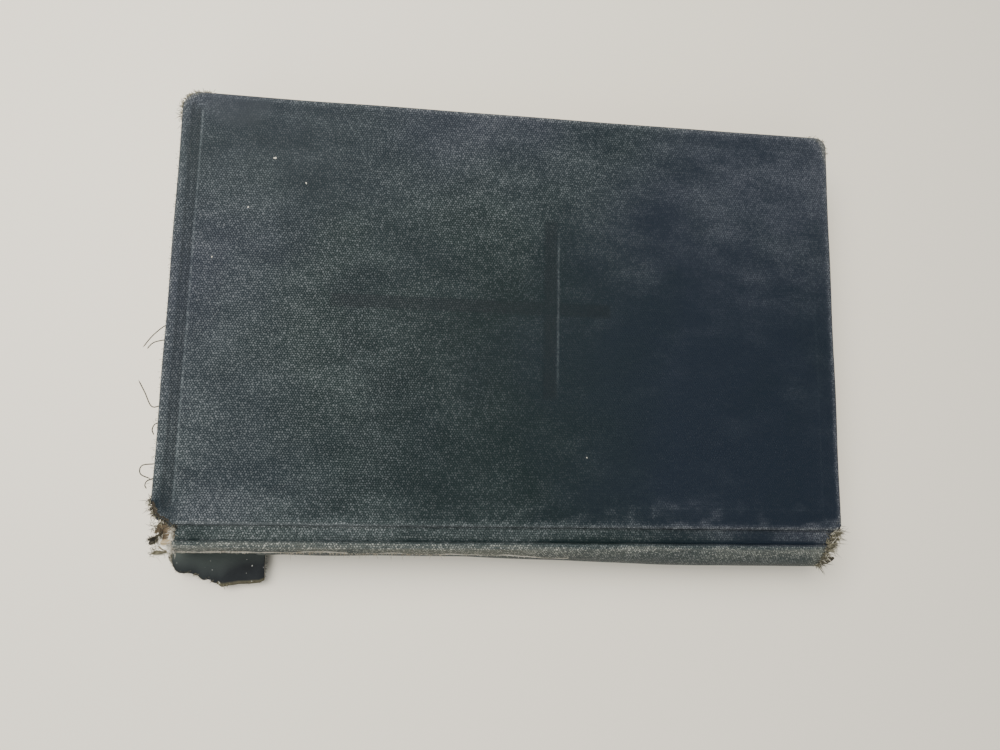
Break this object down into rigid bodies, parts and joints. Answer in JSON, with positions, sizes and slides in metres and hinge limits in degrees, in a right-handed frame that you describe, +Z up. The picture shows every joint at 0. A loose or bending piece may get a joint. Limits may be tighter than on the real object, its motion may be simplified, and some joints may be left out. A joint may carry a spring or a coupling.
{
  "type": "hardback book",
  "caption": "Old cloth-bound hardback book with a rounded spine, grooved joints and opening covers, a blind-stamped cross, worn corners and a torn spine with a loose flap.",
  "frame": {"origin": "middle of the back cover's outer face, on which the closed book lies", "axes": "+X along the spine towards the head, +Y from the spine to the fore-edge, +Z up through the pages to the front cover"},
  "size_m": [0.1908, 0.1374, 0.024],
  "materials": {
    "book_cloth": "matte pebble-grained book cloth, worn",
    "pages": "aged paper edges",
    "endpaper": "aged uncoated paper",
    "board": "grey-brown pulp board",
    "mull": "open-weave starched cloth",
    "brown_paper": "brown paper with old glue",
    "band": "woven cotton"
  },
  "bodies": {
    "text_block": {"text_block": "pages", "front_flyleaf": "endpaper", "back_flyleaf": "endpaper", "mull": "mull", "spine_lining": "brown_paper", "headband": "band", "tailband": "band", "spine_inlay": "board", "spine_cloth": "book_cloth", "front_joint": "book_cloth", "back_joint": "book_cloth"},
    "front_cover": {"front_board": "board", "front_cloth": "book_cloth", "front_pastedown": "endpaper", "front_mull_flap": "mull"},
    "back_cover": {"back_board": "board", "back_cloth": "book_cloth", "back_pastedown": "endpaper", "back_mull_flap": "mull"}
  },
  "joints": [
    {"name": "front_hinge", "type": "hinge", "parent": "text_block", "child": "front_cover", "pos_m": [0, -0.064, 0.0224], "axis": [1, 0, 0], "range_deg": [0, 180], "deforming": ["front_joint"]},
    {"name": "back_hinge", "type": "hinge", "parent": "text_block", "child": "back_cover", "pos_m": [0, -0.064, 0.0016], "axis": [-1, 0, 0], "range_deg": [0, 180], "deforming": ["back_joint"]}
  ]
}
